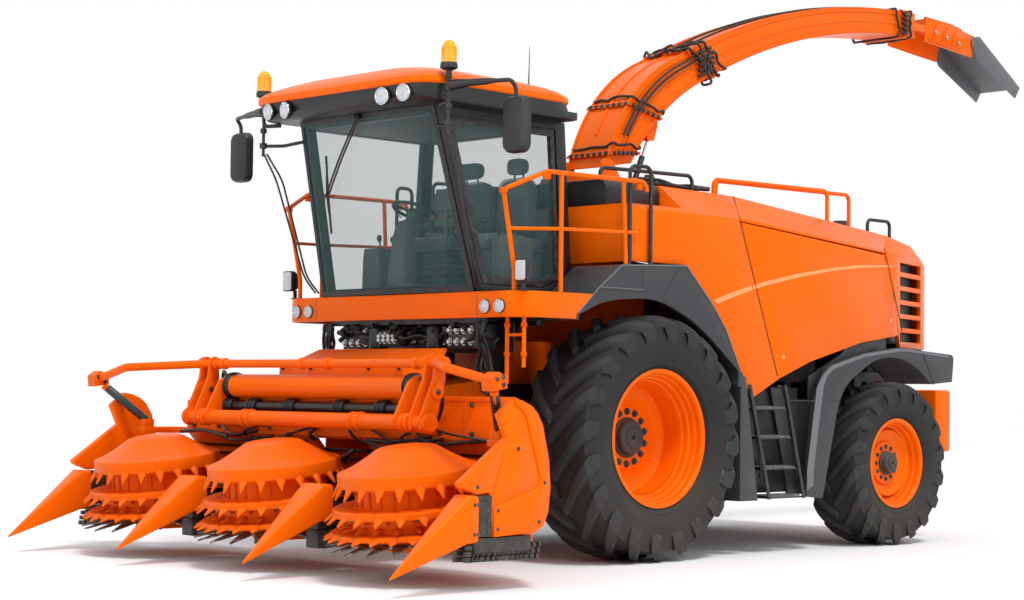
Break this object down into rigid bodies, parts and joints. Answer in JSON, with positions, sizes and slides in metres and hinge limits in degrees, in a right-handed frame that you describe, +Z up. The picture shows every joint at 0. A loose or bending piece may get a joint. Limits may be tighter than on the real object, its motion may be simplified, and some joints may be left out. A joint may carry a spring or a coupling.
{
  "type": "self-propelled forage harvester with rotary maize header",
  "caption": "Self-propelled forage harvester with a cab, steered rear wheels, a turning discharge spout and a lifting maize header with rotary cutting drums.",
  "frame": {"origin": "on the ground under the middle of the whole machine with its header on", "axes": "+X is the left side of the machine, -Y is forward towards the header, +Z is up"},
  "size_m": [4.88, 10.77, 5.23],
  "materials": {
    "orange_paint": "semi-gloss",
    "grey_paint": "semi-gloss",
    "black_paint": "satin",
    "flap_paint": "satin",
    "cast_block": "rough",
    "tyre_rubber": "matte",
    "cab_glazing": "clear",
    "chrome_rod": "polished",
    "seat_fabric": "matte",
    "beacon_lens": "gloss",
    "dark_plastic": "satin",
    "lamp_body": "gloss"
  },
  "bodies": {
    "chassis": {"air_intake": "black_paint", "beacons": "beacon_lens", "cab_deck": "black_paint", "cab_frame": "black_paint", "cab_glass": "cab_glazing", "cab_roof": "orange_paint", "chopper_housing": "black_paint", "cooling_pack": "black_paint", "counterweight": "orange_paint", "engine": "cast_block", "exhaust": "black_paint", "front_axle": "black_paint", "front_fenders": "grey_paint", "guard_posts": "black_paint", "handrails": "orange_paint", "hood_front": "orange_paint", "hood_rear": "orange_paint", "hood_top": "orange_paint", "lamps": "lamp_body", "main_frame": "black_paint", "mirrors": "dark_plastic", "platform_band": "orange_paint", "rear_axle": "black_paint", "rear_fenders": "grey_paint", "seats": "seat_fabric", "service_ladders": "black_paint", "side_tanks": "grey_paint", "steering_column": "dark_plastic"},
    "front_wheel_left": {"front_tyre_left": "tyre_rubber", "front_rim_left": "orange_paint"},
    "front_wheel_right": {"front_tyre_right": "tyre_rubber", "front_rim_right": "orange_paint"},
    "rear_steer_left": {"rear_knuckle_left": "black_paint"},
    "rear_steer_right": {"rear_knuckle_right": "black_paint"},
    "rear_wheel_left": {"rear_tyre_left": "tyre_rubber", "rear_rim_left": "orange_paint"},
    "rear_wheel_right": {"rear_tyre_right": "tyre_rubber", "rear_rim_right": "orange_paint"},
    "cab_door": {"cab_door": "black_paint", "cab_door_glass": "cab_glazing"},
    "service_door_left": {"service_door_left": "orange_paint"},
    "service_door_right": {"service_door_right": "orange_paint"},
    "header": {"feeder_house": "black_paint", "header_frame": "orange_paint", "guard_tube": "orange_paint", "crop_dividers": "orange_paint"},
    "header_barrels": {"header_barrels": "black_paint"},
    "header_rods": {"header_rods": "chrome_rod"},
    "rotor_left": {"rotor_left": "orange_paint"},
    "rotor_middle": {"rotor_middle": "orange_paint"},
    "rotor_right": {"rotor_right": "orange_paint"},
    "turret": {"turret": "orange_paint"},
    "spout": {"spout_top_plate": "orange_paint", "spout_floor_plate": "orange_paint", "spout_sides": "orange_paint"},
    "spout_barrels": {"spout_barrels": "black_paint"},
    "spout_rods": {"spout_rods": "chrome_rod"},
    "deflector": {"deflector": "orange_paint"},
    "end_flap": {"end_flap": "flap_paint"}
  },
  "joints": [
    {"name": "front_wheel_left_spin", "type": "hinge", "parent": "chassis", "child": "front_wheel_left", "pos_m": [1.16, -1.81, 0.98], "axis": [1, 0, 0], "continuous": true},
    {"name": "front_wheel_right_spin", "type": "hinge", "parent": "chassis", "child": "front_wheel_right", "pos_m": [-1.16, -1.81, 0.98], "axis": [1, 0, 0], "continuous": true},
    {"name": "rear_steer_left_turn", "type": "hinge", "parent": "chassis", "child": "rear_steer_left", "pos_m": [0.85, 1.39, 0.735], "axis": [0, 0, 1], "range_deg": [-30, 30]},
    {"name": "rear_wheel_left_spin", "type": "hinge", "parent": "rear_steer_left", "child": "rear_wheel_left", "pos_m": [1.23, 1.39, 0.735], "axis": [1, 0, 0], "continuous": true},
    {"name": "rear_steer_right_turn", "type": "hinge", "parent": "chassis", "child": "rear_steer_right", "pos_m": [-0.85, 1.39, 0.735], "axis": [0, 0, 1], "range_deg": [-30, 30]},
    {"name": "rear_wheel_right_spin", "type": "hinge", "parent": "rear_steer_right", "child": "rear_wheel_right", "pos_m": [-1.23, 1.39, 0.735], "axis": [1, 0, 0], "continuous": true},
    {"name": "cab_door_hinge", "type": "hinge", "parent": "chassis", "child": "cab_door", "pos_m": [0.89056, -2.416, 2.155], "axis": [-0.0738, 0, 0.9973], "range_deg": [0, 26]},
    {"name": "service_door_left_hinge", "type": "hinge", "parent": "chassis", "child": "service_door_left", "pos_m": [1.38, -0.748, 2.754], "axis": [0, -0.9969, 0.0783], "range_deg": [0, 80]},
    {"name": "service_door_right_hinge", "type": "hinge", "parent": "chassis", "child": "service_door_right", "pos_m": [-1.38, -0.748, 2.754], "axis": [0, 0.9969, -0.0783], "range_deg": [0, 80]},
    {"name": "header_lift", "type": "hinge", "parent": "chassis", "child": "header", "pos_m": [0, -2.51, 1.25], "axis": [-1, 0, 0], "range_deg": [-1.5, 14]},
    {"name": "header_barrels_swing", "type": "hinge", "parent": "chassis", "child": "header_barrels", "pos_m": [0, -2.06, 0.74], "axis": [-1, 0, 0], "range_deg": [-2, 11]},
    {"name": "header_rods_slide", "type": "slide", "parent": "header_barrels", "child": "header_rods", "axis": [0, -0.9898, -0.1425], "range_m": [-0.03, 0.14]},
    {"name": "rotor_left_spin", "type": "hinge", "parent": "header", "child": "rotor_left", "pos_m": [1.523, -4.484, 0.395], "axis": [0, -0.1184, 0.993], "continuous": true},
    {"name": "rotor_middle_spin", "type": "hinge", "parent": "header", "child": "rotor_middle", "pos_m": [0, -4.484, 0.395], "axis": [0, -0.1184, 0.993], "continuous": true},
    {"name": "rotor_right_spin", "type": "hinge", "parent": "header", "child": "rotor_right", "pos_m": [-1.523, -4.484, 0.395], "axis": [0, -0.1184, 0.993], "continuous": true},
    {"name": "turret_turn", "type": "hinge", "parent": "chassis", "child": "turret", "pos_m": [0, -1.09, 3.09], "axis": [0, 0, 1], "range_deg": [-100, 100]},
    {"name": "spout_lift", "type": "hinge", "parent": "turret", "child": "spout", "pos_m": [0, -1.17, 3.3], "axis": [1, 0, 0], "range_deg": [-18, 3]},
    {"name": "spout_barrels_swing", "type": "hinge", "parent": "turret", "child": "spout_barrels", "pos_m": [0, -0.75, 3.17], "axis": [1, 0, 0], "range_deg": [-26, 5]},
    {"name": "spout_rods_slide", "type": "slide", "parent": "spout_barrels", "child": "spout_rods", "axis": [0, 0.4042, 0.9147], "range_m": [-0.14, 0.03]},
    {"name": "deflector_tilt", "type": "hinge", "parent": "spout", "child": "deflector", "pos_m": [0, 3.53, 5.11], "axis": [1, 0, 0], "range_deg": [-40, 5]},
    {"name": "end_flap_tilt", "type": "hinge", "parent": "deflector", "child": "end_flap", "pos_m": [0, 4.48, 5.085], "axis": [1, 0, 0], "range_deg": [-35, 20]}
  ],
  "couplings": [
    {"joint": "rear_steer_right_turn", "follows": "rear_steer_left_turn", "ratio": 1},
    {"joint": "header_barrels_swing", "follows": "header_lift", "ratio": 0.6896},
    {"joint": "header_rods_slide", "follows": "header_lift", "m_per_rad": 0.54333},
    {"joint": "spout_barrels_swing", "follows": "spout_lift", "ratio": 1.2794},
    {"joint": "spout_rods_slide", "follows": "spout_lift", "m_per_rad": 0.42257}
  ]
}
